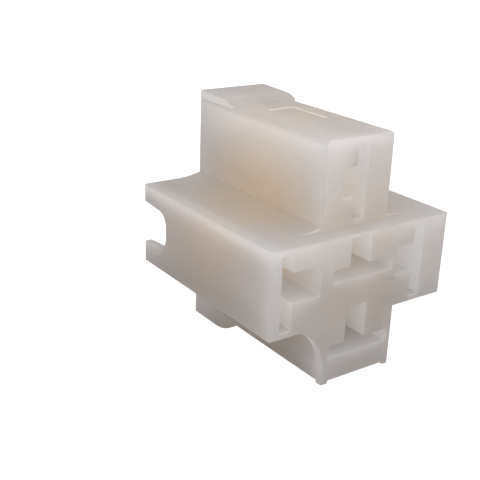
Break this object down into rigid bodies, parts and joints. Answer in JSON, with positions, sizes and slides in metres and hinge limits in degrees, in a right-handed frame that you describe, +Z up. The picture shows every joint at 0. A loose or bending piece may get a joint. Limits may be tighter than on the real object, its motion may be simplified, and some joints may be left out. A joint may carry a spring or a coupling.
{
  "type": "relay socket connector housing",
  "caption": "Cross-shaped moulded housing that holds crimped blade receptacles on wires and plugs onto the blades of a small relay.",
  "frame": {"origin": "on the surface that the housing stands on, under the middle of its width and length", "axes": "+X across the two wings, +Y from the mating face to the wire end, +Z up"},
  "size_m": [0.022, 0.023, 0.0261],
  "materials": {
    "nylon": "natural translucent nylon, satin"
  },
  "bodies": {
    "root": {"housing": "nylon"}
  },
  "joints": []
}
